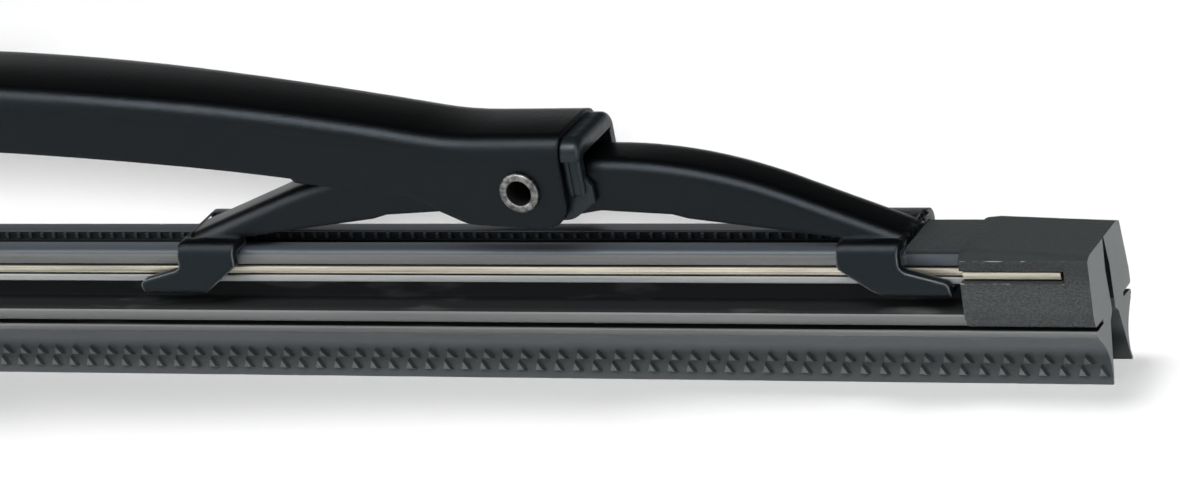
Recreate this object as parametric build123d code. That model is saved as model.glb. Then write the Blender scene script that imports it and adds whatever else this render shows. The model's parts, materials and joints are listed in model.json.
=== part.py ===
from build123d import *
import os

# Windscreen wiper blade: a bridge carries two levers, each lever carries two yokes, and the yokes' eight
# claws hold a twin-lip rubber squeegee stiffened by two spring steel strips.
# Millimetres. X runs along the blade, Y across it, Z up. The origin is the middle of the arm tube.

# Layout of the pivots, with heights above the top of the rubber
CLAW_SPACING = 62.5
RUBBER_OVERHANG = 19.3
YOKE_PIVOT_HEIGHT = 6.1
LEVER_PIVOT_HEIGHT = 13.8
ARM_PIN_HEIGHT = 24.6

# Pressed sheet steel
SHEET = 0.9
BRIDGE_INNER_BEND = 1.4
LEVER_INNER_BEND = 1.0
YOKE_INNER_BEND = 0.5
CLAW_INNER_BEND = 0.3

# Clearances
SIDE_PLAY = 0.08
LINER_SEAT = 0.05
PIN_CLEARANCE = 0.05
CLAW_CLEARANCE = 0.25
CLAW_ROOF_GAP = 0.12
TOE_CLEARANCE = 0.4
STRIP_CLEARANCE = 0.06
STRIP_END_PLAY = 0.4
ADAPTER_PLAY = 0.2

# Yoke: the small channel that ends in two claws, with depths below its rivet
YOKE_WIDTH = 5.7
YOKE_TIP_WIDTH = 5.2
YOKE_CROWN = 1.9
YOKE_EAR_DEPTH = 3.0
YOKE_ARM_DEPTH = 2.4
YOKE_FLAT = 7.0
YOKE_CORNER_REACH = 15.8
YOKE_BEND_RADIUS = 46.0
YOKE_STEP_REACH = 13.5
YOKE_STEP = 0.4
YOKE_STEP_LENGTH = 1.4
YOKE_EAR_REACH = 3.5
YOKE_EAR_RADIUS = 3.0
YOKE_RIDGE_REACH = 2.4
YOKE_RIVET_OFFSET = 0.55

# Claw: plate, legs and inward feet at each end of a yoke
CLAW_LENGTH = 5.5
CLAW_TOE = 4.2
CLAW_TOE_HEIGHT = 1.5
CLAW_ANKLE_DROP = 1.2
CLAW_HEEL_DROP = 0.95
CLAW_SOLE_BACK = 1.6
CLAW_FOOT_REACH = 0.8
CLAW_ANKLE_RADIUS = 0.8
CLAW_TIP_RADIUS = 0.6

# Lever: the middle channel, with a deep ear at each end
LEVER_SWELL = 0.9
LEVER_CROWN = 2.95
LEVER_BOW = 1.1
LEVER_DEPTH = 5.7
LEVER_STEP_REACH = 21.7

# Bridge: the main channel, with the same ears and a belly round the arm tube
BRIDGE_SWELL = 0.75
BRIDGE_CROWN = 7.0
BRIDGE_BOW = 3.1
BRIDGE_DEPTH = 7.8
BRIDGE_STEP_REACH = 26.0
BELLY_DEPTH = 5.2
BELLY_LENGTH = 30.0
BELLY_RUN = 10.0
BELLY_RADIUS = 10.0
WINDOW_LENGTH = 32.0

# Ears of the lever and the bridge, measured from the rivet
EAR_REACH = 4.0
EAR_DROP = 3.55
EAR_INNER_REACH = 5.4
EAR_NECK_REACH = 11.0
EAR_SLANT = 0.5
EAR_STEP = 0.4
EAR_NECK_RADIUS = 9.0
EAR_TOE_RADIUS = 4.0
EAR_CORNER_RADIUS = 2.2
EAR_ROOF_FLAT = 7.0
EAR_ROOF_BEND = 30.0

# Plastic liners between nested channels
LINER_WALL = 0.5
LINER_ROOF = 0.85
LINER_ROOF_PLAY = 0.9
LINER_REACH = 5.0
LINER_CHEEK_RISE = 1.4
LINER_CHEEK_LENGTH = 2.2
HOOD_LENGTH = 1.7
HOOD_GAP = 0.12
HOOD_INSET = 0.3
HOOD_FLANK = 0.15
HOOD_END_RADIUS = 0.7
TAB_LENGTH = 1.5
TAB_INSET = 0.1
TAB_DROP = 3.4
TAB_THICKNESS = 0.3
TAB_GROOVE_WIDTH = 0.7
TAB_GROOVE_DEPTH = 0.2

# Hollow rivets
RIVET_RADIUS = 1.45
RIVET_BORE_RADIUS = 1.1
RIVET_RIM_RADIUS = 1.8
RIVET_RIM_HEIGHT = 0.45

# Arm tube and hook adapter
ARM_BORE_RADIUS = 2.4
ARM_TUBE_WALL = 0.6
ARM_TUBE_RIM = 1.0
ARM_TUBE_RIM_HEIGHT = 0.7
ADAPTER_LENGTH = 22.0
ADAPTER_TOP = 8.2
ADAPTER_BOTTOM = 4.2
ADAPTER_CORNER_RADIUS = 3.4
ADAPTER_CHEEK = 1.9
ADAPTER_BARREL_WALL = 1.6
ADAPTER_MOUTH = 4.8
ADAPTER_FLOOR = 1.5
ADAPTER_FLOOR_LENGTH = 4.2

# Rubber section, from its top down, with widths across the whole rubber
HEAD_WIDTH = 6.2
HEAD_SLOT_WIDTH = 2.4
HEAD_SLOT_DEPTH = 0.9
UPPER_FLANGE = 1.3
STRIP_THICKNESS = 0.8
STRIP_WIDTH = 2.3
STRIP_STEP = 0.3
LOWER_FLANGE = 0.6
CLAW_GROOVE_HEIGHT = 2.15
WEB_WIDTH = 3.4
RIDGE_WIDTH = 9.0
RIDGE_HEIGHT = 1.25
NECK_WIDTH = 5.2
NECK_GAP = 0.45
LIP_SHOULDER_WIDTH = 8.7
LIP_SHOULDER_HEIGHT = 0.5
LIP_HEIGHT = 5.6
LIP_SPREAD = 5.2
LIP_WAIST_WIDTH = 5.0
LIP_EDGE = 0.28
LIP_ROOT_WIDTH = 2.1
VALLEY_RISE = 0.1
SLIT_WIDTH = 0.3
SLIT_HEIGHT = 3.2

# Moulded block at each end of the rubber, and the raised land between it and the last claw
BLOCK_WIDTH = 8.2
BLOCK_BULGE_WIDTH = 9.2
BLOCK_SHOULDER_DROP = 0.41
BLOCK_CAP_WIDTH = 7.0
BLOCK_RISE = 0.5
BLOCK_FALL = 0.6
LAND_RISE = 0.3
STRIP_END_GAP = 2.6
POCKET_DROP = 0.3
POCKET_CORNER_RADIUS = 0.27
END_SLIT_DEPTH = 0.8

# Shares: the rounding of a corner, of the height or length it ends, and the excess of a cutting tool
ROUND_SHARE = 0.45
OVERSIZE = 2

# Places worked out from the sizes above
RUBBER_TOP = -ARM_PIN_HEIGHT
BLADE_LENGTH = 7 * CLAW_SPACING + 2 * (RUBBER_OVERHANG - YOKE_RIVET_OFFSET)
YOKE_SPAN = CLAW_SPACING / 2
LEVER_SPAN = CLAW_SPACING
BRIDGE_SPAN = 2 * CLAW_SPACING
NEST = SIDE_PLAY + LINER_WALL + LINER_SEAT + SHEET
LEVER_END_WIDTH = YOKE_WIDTH + 2 * NEST
LEVER_MID_WIDTH = LEVER_END_WIDTH + 2 * LEVER_SWELL
BRIDGE_END_WIDTH = LEVER_MID_WIDTH + 2 * NEST
BRIDGE_MID_WIDTH = BRIDGE_END_WIDTH + 2 * BRIDGE_SWELL
ROOF_RISE = LINER_ROOF_PLAY + LINER_ROOF + LINER_SEAT + SHEET
RIVET_HOLE = RIVET_RADIUS + PIN_CLEARANCE
ARM_TUBE_RADIUS = ARM_BORE_RADIUS + ARM_TUBE_WALL
STRIP_SLOT = STRIP_THICKNESS + 2 * STRIP_CLEARANCE
STRIP_OUTER = HEAD_WIDTH / 2 + STRIP_STEP
SLOT_FLOOR = STRIP_OUTER - STRIP_WIDTH - STRIP_CLEARANCE
CLAW_WIDTH = 2 * (STRIP_OUTER + CLAW_CLEARANCE + SHEET)
CLAW_TOP = CLAW_ROOF_GAP + SHEET
FLANGE_BOTTOM = -(UPPER_FLANGE + STRIP_SLOT + LOWER_FLANGE)
CLAW_BOTTOM = FLANGE_BOTTOM - CLAW_ROOF_GAP - SHEET
RIDGE_TOP = FLANGE_BOTTOM - CLAW_GROOVE_HEIGHT
RIDGE_BOTTOM = RIDGE_TOP - RIDGE_HEIGHT
LIP_TOP = RIDGE_BOTTOM - NECK_GAP
LIP_EDGE_LEVEL = LIP_TOP - LIP_HEIGHT
SLIT_TOP = LIP_TOP + VALLEY_RISE + SLIT_HEIGHT
BLADE_END = BLADE_LENGTH / 2
LAST_CLAW_END = BLADE_END - RUBBER_OVERHANG + CLAW_LENGTH / 2
BLOCK_START = LAST_CLAW_END + CLAW_TOE + TOE_CLEARANCE


def side_slab(face, width):
    """Solid of a face drawn in X and Z, as thick as width and centred on Y."""
    return extrude(Plane.XZ * face, amount=width / 2, both=True)


def polygon(*points):
    """Flat face with straight sides."""
    return make_face(Polyline(*points, close=True))


def rounded(face, corners):
    """Rounds the corner of a flat face nearest to each point by the radius given with it."""
    for (x, y), radius in corners:
        face = fillet(face.vertices().sort_by_distance((x, y, 0))[0], radius)
    return face


def both_ends(edges):
    """Edges drawn on the +X side, with their mirror image on the other."""
    return edges + [mirror(edge, about=Plane.YZ) for edge in edges]


def cross_hole(radius, x, z):
    """Cylinder across the whole blade, to bore a pivot hole."""
    return Pos(x, 0, z) * Rot(90, 0, 0) * Cylinder(radius, OVERSIZE * BRIDGE_MID_WIDTH)


def swell_plan(reach, flat_end, flat_mid, end_width, mid_width):
    """Top outline of a channel: sides parallel at its ends and its middle, with smooth bends between."""
    end = end_width / 2
    mid = mid_width / 2
    bend = ((flat_end + flat_mid) / 2, (end + mid) / 2)
    side = both_ends(
        [
            Line((0, mid), (flat_mid, mid)),
            TangentArc((flat_mid, mid), bend, tangent=(1, 0)),
            TangentArc((flat_end, end), bend, tangent=(-1, 0)),
            Line((flat_end, end), (reach, end)),
        ]
    )
    ends = both_ends([Line((reach, end), (reach, -end))])
    return make_face(side + [mirror(edge, about=Plane.XZ) for edge in side] + ends)


def pressed_channel(side, plan, bend_radius):
    """Inverted channel of sheet, under the roof line of a side face and within a plan outline."""
    floor = side.bounding_box().min.Y
    height = side.bounding_box().size.Y
    width = plan.bounding_box().size.Y
    block = side_slab(side, OVERSIZE * width) & extrude(Pos(0, 0, floor) * plan, amount=height)
    above_floor = [edge for edge in block.edges() if edge.bounding_box().min.Z > floor + SHEET]
    rims = [edge for edge in above_floor if abs(edge.center().Y) > SHEET]
    block = fillet(rims, bend_radius)
    faces = block.faces()
    open_faces = [faces.sort_by(Axis.Z)[0], faces.sort_by(Axis.X)[0], faces.sort_by(Axis.X)[-1]]
    return offset(block, amount=-SHEET, openings=open_faces)


def arch_channel(span, drop, crown, bow, roof, depth, step_reach, plan, inner_bend):
    """Arched channel about its own middle pivot, and the side outline that trims its walls to two deep ears.

    span and drop place the end rivets, crown is the roof's height in the middle, roof that at the ears, and
    bow how far each half of the roof stands above a straight line between them.
    """
    reach = span + EAR_REACH
    spring = span - EAR_ROOF_FLAT
    floor = OVERSIZE * (drop - EAR_DROP)

    def bowed(end, depth):
        """Arc as far below the roof as depth, from the middle out to the place called end."""
        points = []
        for x in (0, end / 2, end):
            share = x / spring
            points.append((x, crown + (roof - crown) * share + 4 * bow * share * (1 - share) - depth))
        return points

    half_roof = [
        ThreePointArc(*bowed(spring, 0)),
        Line((spring, roof), (reach, roof)),
        Line((reach, roof), (reach, floor)),
    ]
    side = make_face(both_ends(half_roof) + [Line((-reach, floor), (reach, floor))])
    side = rounded(side, [((end * spring, roof), EAR_ROOF_BEND) for end in (-1, 1)])
    channel = pressed_channel(side, plan, SHEET + inner_bend)

    lower = bowed(span - step_reach, depth)
    step = lower[-1]
    neck = bowed(span - EAR_NECK_REACH, depth)[-1]
    toe = (span - EAR_INNER_REACH, drop - EAR_DROP + EAR_SLANT)
    corner = (reach, drop - EAR_DROP)
    cover = OVERSIZE * crown + depth
    ear = Polyline(step, (step[0] + EAR_STEP, step[1] - EAR_STEP), neck, toe, corner, (reach, cover))
    trim = make_face(both_ends([ThreePointArc(*lower), ear]) + [Line((-reach, cover), (reach, cover))])
    for end in (-1, 1):
        rounds = [(neck, EAR_NECK_RADIUS), (toe, EAR_TOE_RADIUS), (corner, EAR_CORNER_RADIUS)]
        trim = rounded(trim, [((end * x, z), size) for (x, z), size in rounds])
    return channel, trim


def primary_bridge():
    """Main channel: the arch, its belly round the arm tube and the window for the arm."""
    drop = LEVER_PIVOT_HEIGHT - ARM_PIN_HEIGHT
    roof = drop + LEVER_CROWN + ROOF_RISE
    neck = BRIDGE_SPAN - OVERSIZE * EAR_NECK_REACH
    plan = swell_plan(BRIDGE_SPAN + EAR_REACH, neck, BELLY_LENGTH, BRIDGE_END_WIDTH, BRIDGE_MID_WIDTH)
    channel, trim = arch_channel(
        BRIDGE_SPAN, drop, BRIDGE_CROWN, BRIDGE_BOW, roof, BRIDGE_DEPTH, BRIDGE_STEP_REACH, plan,
        BRIDGE_INNER_BEND,
    )
    low = (BELLY_LENGTH / 2, -BELLY_DEPTH)
    high = (BELLY_LENGTH / 2 + BELLY_RUN, BRIDGE_CROWN - BRIDGE_DEPTH / 2)
    belly = polygon(low, high, (-high[0], high[1]), (-low[0], low[1]))
    belly = rounded(belly, [((end * low[0], low[1]), BELLY_RADIUS) for end in (-1, 1)])
    bridge = channel & side_slab(trim + belly, OVERSIZE * BRIDGE_MID_WIDTH)

    window_width = BRIDGE_MID_WIDTH - 2 * SHEET
    on_floor = (Align.CENTER, Align.CENTER, Align.MIN)
    bridge -= Box(WINDOW_LENGTH, window_width, OVERSIZE * BRIDGE_CROWN, align=on_floor)
    bridge -= cross_hole(ARM_TUBE_RADIUS + PIN_CLEARANCE, 0, 0)
    for end in (-1, 1):
        bridge -= cross_hole(RIVET_HOLE, end * BRIDGE_SPAN, drop)
    return bridge


def lever():
    """Middle channel, about its own rivet, with an ear over a yoke at each end."""
    drop = YOKE_PIVOT_HEIGHT - LEVER_PIVOT_HEIGHT
    roof = drop + YOKE_CROWN + ROOF_RISE
    neck = LEVER_SPAN - EAR_NECK_REACH
    plan = swell_plan(LEVER_SPAN + EAR_REACH, neck, 2 * LINER_REACH, LEVER_END_WIDTH, LEVER_MID_WIDTH)
    channel, trim = arch_channel(
        LEVER_SPAN, drop, LEVER_CROWN, LEVER_BOW, roof, LEVER_DEPTH, LEVER_STEP_REACH, plan, LEVER_INNER_BEND
    )
    piece = channel & side_slab(trim, OVERSIZE * LEVER_MID_WIDTH)
    piece -= cross_hole(RIVET_HOLE, 0, 0)
    for end in (-1, 1):
        piece -= cross_hole(RIVET_HOLE, end * LEVER_SPAN, drop)
    return piece


def claw():
    """Claw at the +X end of a yoke: a plate over the rubber, and legs with feet turned in under it."""
    height = CLAW_TOP - CLAW_BOTTOM
    outer = RectangleRounded(CLAW_WIDTH, height, SHEET + CLAW_INNER_BEND)
    inner = offset(outer, amount=-SHEET)
    mouth_width = CLAW_WIDTH - 2 * (SHEET + CLAW_FOOT_REACH)
    mouth = Pos(0, -height / 2) * Rectangle(mouth_width, OVERSIZE * 2 * SHEET)
    section = Pos(0, (CLAW_TOP + CLAW_BOTTOM) / 2) * (outer - inner - mouth)
    bent = extrude(Plane.YZ * section, amount=CLAW_LENGTH + CLAW_TOE, both=True)

    front = CLAW_LENGTH / 2
    toe = front + CLAW_TOE
    ankle = (front, -CLAW_ANKLE_DROP)
    tip = (toe, CLAW_BOTTOM + CLAW_TOE_HEIGHT)
    sole = (toe, CLAW_BOTTOM)
    boot = polygon(
        (-front, OVERSIZE * CLAW_TOP),
        (front, OVERSIZE * CLAW_TOP),
        ankle,
        tip,
        sole,
        (front - CLAW_SOLE_BACK, CLAW_BOTTOM),
        (-front, -CLAW_HEEL_DROP),
    )
    boot = rounded(boot, [(ankle, CLAW_ANKLE_RADIUS), (tip, CLAW_TIP_RADIUS), (sole, CLAW_TIP_RADIUS)])
    return bent & side_slab(boot, OVERSIZE * CLAW_WIDTH)


def yoke():
    """Small channel about its own middle, whose roof runs down into a claw at each end."""
    plate = CLAW_TOP - YOKE_PIVOT_HEIGHT
    heel = YOKE_SPAN - CLAW_LENGTH / 2
    reach = YOKE_SPAN + CLAW_LENGTH / 2
    floor = OVERSIZE * 2 * plate

    corner = (YOKE_CORNER_REACH, YOKE_CROWN)
    landing = (YOKE_SPAN + YOKE_RIDGE_REACH, plate)
    fall = (landing[1] - corner[1]) / (landing[0] - corner[0])
    arm = [corner, (reach, landing[1] + fall * (reach - landing[0])), (reach, floor)]
    side = polygon(*arm, *[(-x, z) for x, z in reversed(arm)])
    side = rounded(side, [((end * corner[0], corner[1]), YOKE_BEND_RADIUS) for end in (-1, 1)])
    plan = swell_plan(reach, heel, YOKE_FLAT, YOKE_TIP_WIDTH, YOKE_WIDTH)
    channel = pressed_channel(side, plan, SHEET + YOKE_INNER_BEND)

    step_level = -YOKE_ARM_DEPTH - YOKE_STEP
    lower = [
        (YOKE_EAR_REACH, -YOKE_EAR_DEPTH),
        (YOKE_FLAT, -YOKE_ARM_DEPTH),
        (YOKE_STEP_REACH, step_level),
        (YOKE_STEP_REACH + YOKE_STEP_LENGTH, step_level - YOKE_STEP),
        (heel, plate),
        (heel, plate - SHEET),
        (reach, plate - SHEET),
        (reach, OVERSIZE * YOKE_CROWN),
    ]
    trim = polygon(*lower, *[(-x, z) for x, z in reversed(lower)])
    trim = rounded(trim, [((end * x, z), YOKE_EAR_RADIUS) for x, z in lower[:2] for end in (-1, 1)])
    solid_arm = side_slab(side, YOKE_TIP_WIDTH)
    piece = channel & side_slab(trim, OVERSIZE * YOKE_WIDTH)
    for turn in (0, 180):
        foot = Rot(0, 0, turn) * Pos(YOKE_SPAN, 0, -YOKE_PIVOT_HEIGHT) * claw()
        piece += foot - (solid_arm & foot)
    return piece - cross_hole(RIVET_HOLE, YOKE_RIVET_OFFSET, 0)


def liner(child_width, child_crown, inner_bend):
    """Plastic saddle seated in a channel's ear, about the rivet, with its hood and side tabs towards +X."""
    inner = child_width / 2 + SIDE_PLAY
    outer = inner + LINER_WALL
    ceiling = child_crown + LINER_ROOF_PLAY
    roof = ceiling + LINER_ROOF
    start = EAR_REACH + HOOD_GAP
    end = start + LINER_CHEEK_LENGTH
    low = LINER_WALL - EAR_DROP

    corners = [(-LINER_REACH, low), (EAR_REACH, low)]
    roof_end = start + HOOD_LENGTH / 2
    front = [(end, -LINER_CHEEK_RISE), (end, 0), (roof_end, child_crown), (roof_end, roof)]
    cheek = polygon(*corners, *front, (-LINER_REACH, roof))
    saddle = side_slab(rounded(cheek, [(corner, EAR_CORNER_RADIUS) for corner in corners]), 2 * outer)
    top_edges = saddle.edges().filter_by(Axis.X).group_by(Axis.Z)[-1]
    saddle = fillet(top_edges, inner_bend + LINER_SEAT)

    hood_width = 2 * (outer + LINER_SEAT + SHEET - HOOD_INSET)
    hood_top = roof + LINER_SEAT + SHEET - HOOD_INSET
    hood_bend = SHEET + inner_bend - HOOD_INSET
    flank = hood_top - hood_bend - HOOD_FLANK
    hood = Box(HOOD_LENGTH, hood_width, hood_top - flank)
    hood = Pos(start + HOOD_LENGTH / 2, 0, (flank + hood_top) / 2) * hood
    hood = fillet(hood.edges().filter_by(Axis.X).group_by(Axis.Z)[-1], hood_bend)
    end_edges = hood.faces().sort_by(Axis.X)[-1].edges()
    hood = fillet(end_edges - end_edges.group_by(Axis.Z)[0], HOOD_END_RADIUS)

    tab_face = Pos(start + TAB_INSET + TAB_LENGTH / 2, flank - TAB_DROP / 2) * Rectangle(TAB_LENGTH, TAB_DROP)
    tab_face = fillet(tab_face.vertices().group_by(Axis.Y)[0], ROUND_SHARE * TAB_LENGTH)
    tab_outer = outer + TAB_THICKNESS
    groove_face = Pos(*tab_face.center()) * Rectangle(TAB_GROOVE_WIDTH, TAB_DROP)
    groove = side_slab(groove_face, OVERSIZE * tab_outer)
    groove -= side_slab(groove_face, 2 * (tab_outer - TAB_GROOVE_DEPTH))
    tabs = side_slab(tab_face, 2 * tab_outer) - groove
    hung = (Align.CENTER, Align.CENTER, Align.MAX)
    void = Box(OVERSIZE * 2 * end, 2 * inner, OVERSIZE * (ceiling + EAR_DROP), align=hung)
    return saddle + hood + tabs - Pos(0, 0, ceiling) * void - cross_hole(RIVET_HOLE, 0, 0)


def hollow_rivet(width, bore, shank, rim, rim_height):
    """Tube across a channel of the given width, with its ends rolled outwards over both walls."""
    half = width / 2
    end = half + rim_height
    roll = ROUND_SHARE * rim_height
    section = polygon((bore, 0), (shank, 0), (shank, half), (rim, half), (rim, end), (bore, end))
    section = rounded(section, [((rim, end), roll), ((bore, end), roll)])
    half_tube = revolve(Plane.XY * section, axis=Axis.Y)
    return half_tube + mirror(half_tube, about=Plane.XZ)


def hook_adapter():
    """Plain plastic clip on the arm tube: two cheeks, and a split barrel that the arm's hook goes round."""
    width = BRIDGE_MID_WIDTH - 2 * (SHEET + ADAPTER_PLAY)
    gap = width - 2 * ADAPTER_CHEEK
    barrel = ARM_TUBE_RADIUS + ADAPTER_BARREL_WALL
    height = ADAPTER_TOP + ADAPTER_BOTTOM
    face = RectangleRounded(ADAPTER_LENGTH, height, ADAPTER_CORNER_RADIUS)
    face = Pos(0, height / 2 - ADAPTER_BOTTOM) * face
    floor = Rectangle(ADAPTER_FLOOR_LENGTH, ADAPTER_FLOOR, align=(Align.MIN, Align.MIN))
    floor = Pos(ADAPTER_CORNER_RADIUS - ADAPTER_LENGTH / 2, -ADAPTER_BOTTOM) * floor
    clip = side_slab(face, width) - side_slab(face, gap)
    clip += side_slab(Circle(barrel) + floor, gap)
    hung = (Align.CENTER, Align.CENTER, Align.MAX)
    mouth = Box(ADAPTER_MOUTH, OVERSIZE * width, OVERSIZE * ADAPTER_BOTTOM, align=hung)
    return clip - mouth - cross_hole(ARM_TUBE_RADIUS + PIN_CLEARANCE, 0, 0)


def rubber_section():
    """Twin-lip section of the rubber, drawn below the level of its top."""
    shoulder = LIP_TOP - LIP_SHOULDER_HEIGHT
    edge = LIP_SPREAD / 2
    head = Polyline(
        (0, -HEAD_SLOT_DEPTH),
        (HEAD_SLOT_WIDTH / 2, -HEAD_SLOT_DEPTH),
        (HEAD_SLOT_WIDTH / 2, 0),
        (HEAD_WIDTH / 2, 0),
        (HEAD_WIDTH / 2, -UPPER_FLANGE),
        (SLOT_FLOOR, -UPPER_FLANGE),
        (SLOT_FLOOR, -UPPER_FLANGE - STRIP_SLOT),
        (STRIP_OUTER, -UPPER_FLANGE - STRIP_SLOT),
        (STRIP_OUTER, FLANGE_BOTTOM),
        (WEB_WIDTH / 2, FLANGE_BOTTOM),
        (WEB_WIDTH / 2, RIDGE_TOP),
        (RIDGE_WIDTH / 2, RIDGE_TOP),
        (RIDGE_WIDTH / 2, RIDGE_BOTTOM),
        (NECK_WIDTH / 2, RIDGE_BOTTOM),
        (NECK_WIDTH / 2, LIP_TOP),
        (LIP_SHOULDER_WIDTH / 2, LIP_TOP),
        (LIP_SHOULDER_WIDTH / 2, shoulder),
    )
    waist = (LIP_WAIST_WIDTH / 2, (shoulder + LIP_EDGE_LEVEL) / 2)
    hollow = ThreePointArc((LIP_SHOULDER_WIDTH / 2, shoulder), waist, (edge, LIP_EDGE_LEVEL))
    inside = Polyline(
        (edge, LIP_EDGE_LEVEL),
        (edge - LIP_EDGE, LIP_EDGE_LEVEL),
        (LIP_ROOT_WIDTH / 2, shoulder),
        (SLIT_WIDTH / 2, LIP_TOP + VALLEY_RISE),
        (SLIT_WIDTH / 2, SLIT_TOP),
        (0, SLIT_TOP),
    )
    return make_face(both_ends([head, hollow, inside]))


def end_block():
    """Moulded block at the +X end of the rubber, with the raised land that leads up to it."""
    half_section = [
        (BLOCK_CAP_WIDTH / 2, BLOCK_RISE),
        (BLOCK_WIDTH / 2, -BLOCK_SHOULDER_DROP),
        (BLOCK_BULGE_WIDTH / 2, RIDGE_TOP),
        (RIDGE_WIDTH / 2, RIDGE_BOTTOM),
        (SLIT_WIDTH / 2, RIDGE_BOTTOM),
        (SLIT_WIDTH / 2, SLIT_TOP),
    ]
    face = polygon(*half_section, *[(-y, z) for y, z in reversed(half_section)])
    block = Pos(BLOCK_START, 0, 0) * extrude(Plane.YZ * face, amount=BLADE_END - BLOCK_START)
    block -= side_slab(
        polygon((BLOCK_START, BLOCK_RISE), (BLADE_END, BLOCK_RISE), (BLADE_END, BLOCK_RISE - BLOCK_FALL)),
        OVERSIZE * BLOCK_WIDTH,
    )
    land_start = LAST_CLAW_END + CLAW_CLEARANCE
    land_face = polygon(
        (land_start, -UPPER_FLANGE),
        (BLOCK_START, -UPPER_FLANGE),
        (BLOCK_START, LAND_RISE),
        (land_start, LAND_RISE),
    )
    return block + side_slab(land_face, HEAD_WIDTH)


def end_cuts():
    """Pockets round the strips' ends and the slit in the end face, to be cut from the +X block."""
    pocket_end = BLADE_END - STRIP_END_GAP + STRIP_END_PLAY
    low = -UPPER_FLANGE - STRIP_SLOT - POCKET_DROP
    face = polygon(
        (BLOCK_START, -UPPER_FLANGE), (pocket_end, -UPPER_FLANGE), (pocket_end, low), (BLOCK_START, low)
    )
    face = fillet(face.vertices().group_by(Axis.X)[-1], POCKET_CORNER_RADIUS)
    pockets = side_slab(face, OVERSIZE * BLOCK_WIDTH) - side_slab(face, 2 * SLOT_FLOOR)
    slit_top = -UPPER_FLANGE / 2
    slit = Box(2 * END_SLIT_DEPTH, SLIT_WIDTH, slit_top - RIDGE_BOTTOM)
    return pockets + Pos(BLADE_END, 0, (slit_top + RIDGE_BOTTOM) / 2) * slit


def squeegee():
    """Twin-lip rubber with a moulded block at each end, below the level of its own top."""
    rubber = extrude(Plane.YZ * rubber_section(), amount=BLADE_END, both=True)
    for turn in (0, 180):
        rubber += Rot(0, 0, turn) * end_block()
        rubber -= Rot(0, 0, turn) * end_cuts()
    return rubber


def strip(side):
    """Spring steel strip in one side groove of the rubber; side is -1 for the front and 1 for the rear."""
    level = -UPPER_FLANGE - STRIP_SLOT / 2
    middle = side * (STRIP_OUTER - STRIP_WIDTH / 2)
    return Pos(0, middle, level) * Box(BLADE_LENGTH - 2 * STRIP_END_GAP, STRIP_WIDTH, STRIP_THICKNESS)


def assembly():
    """Every piece in its place, by name."""
    on_rubber = Pos(0, 0, RUBBER_TOP)
    tube_sizes = (ARM_BORE_RADIUS, ARM_TUBE_RADIUS, ARM_TUBE_RADIUS + ARM_TUBE_RIM, ARM_TUBE_RIM_HEIGHT)
    rivet_sizes = (RIVET_BORE_RADIUS, RIVET_RADIUS, RIVET_RIM_RADIUS, RIVET_RIM_HEIGHT)
    pieces = {
        "primary_bridge": primary_bridge(),
        "arm_tube": hollow_rivet(BRIDGE_MID_WIDTH, *tube_sizes),
        "hook_adapter": hook_adapter(),
        "squeegee": on_rubber * squeegee(),
        "strip_front": on_rubber * strip(-1),
        "strip_rear": on_rubber * strip(1),
    }
    bridge_rivet = hollow_rivet(BRIDGE_END_WIDTH, *rivet_sizes)
    bridge_liner = liner(LEVER_MID_WIDTH, LEVER_CROWN, BRIDGE_INNER_BEND)
    yoke_rivet = hollow_rivet(LEVER_END_WIDTH, *rivet_sizes)
    yoke_liner = liner(YOKE_WIDTH, YOKE_CROWN, LEVER_INNER_BEND)
    one_lever = lever()
    one_yoke = Pos(-YOKE_RIVET_OFFSET, 0, 0) * yoke()
    for hand, way in (("left", -1), ("right", 1)):
        lever_place = on_rubber * Pos(way * BRIDGE_SPAN, 0, LEVER_PIVOT_HEIGHT)
        outward = Rot(0, 0, 0 if way > 0 else 180)
        pieces["lever_" + hand] = lever_place * one_lever
        pieces["bridge_rivet_" + hand] = lever_place * bridge_rivet
        pieces["bridge_liner_" + hand] = lever_place * outward * bridge_liner
        for place, turn in (("inner", -1), ("outer", 1)):
            name = "_".join((hand, place))
            yoke_place = on_rubber * Pos(way * (BRIDGE_SPAN + turn * LEVER_SPAN), 0, YOKE_PIVOT_HEIGHT)
            facing = Rot(0, 0, 0 if way * turn > 0 else 180)
            pieces["yoke_" + name] = yoke_place * facing * one_yoke
            pieces["yoke_rivet_" + name] = yoke_place * yoke_rivet
            pieces["yoke_liner_" + name] = yoke_place * facing * yoke_liner
    return pieces


os.makedirs("parts", exist_ok=True)
for piece_name, piece in assembly().items():
    export_step(piece, f"parts/{piece_name}.step")
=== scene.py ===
import json
import math

import bmesh
import bpy
from mathutils import Matrix, Vector


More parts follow.
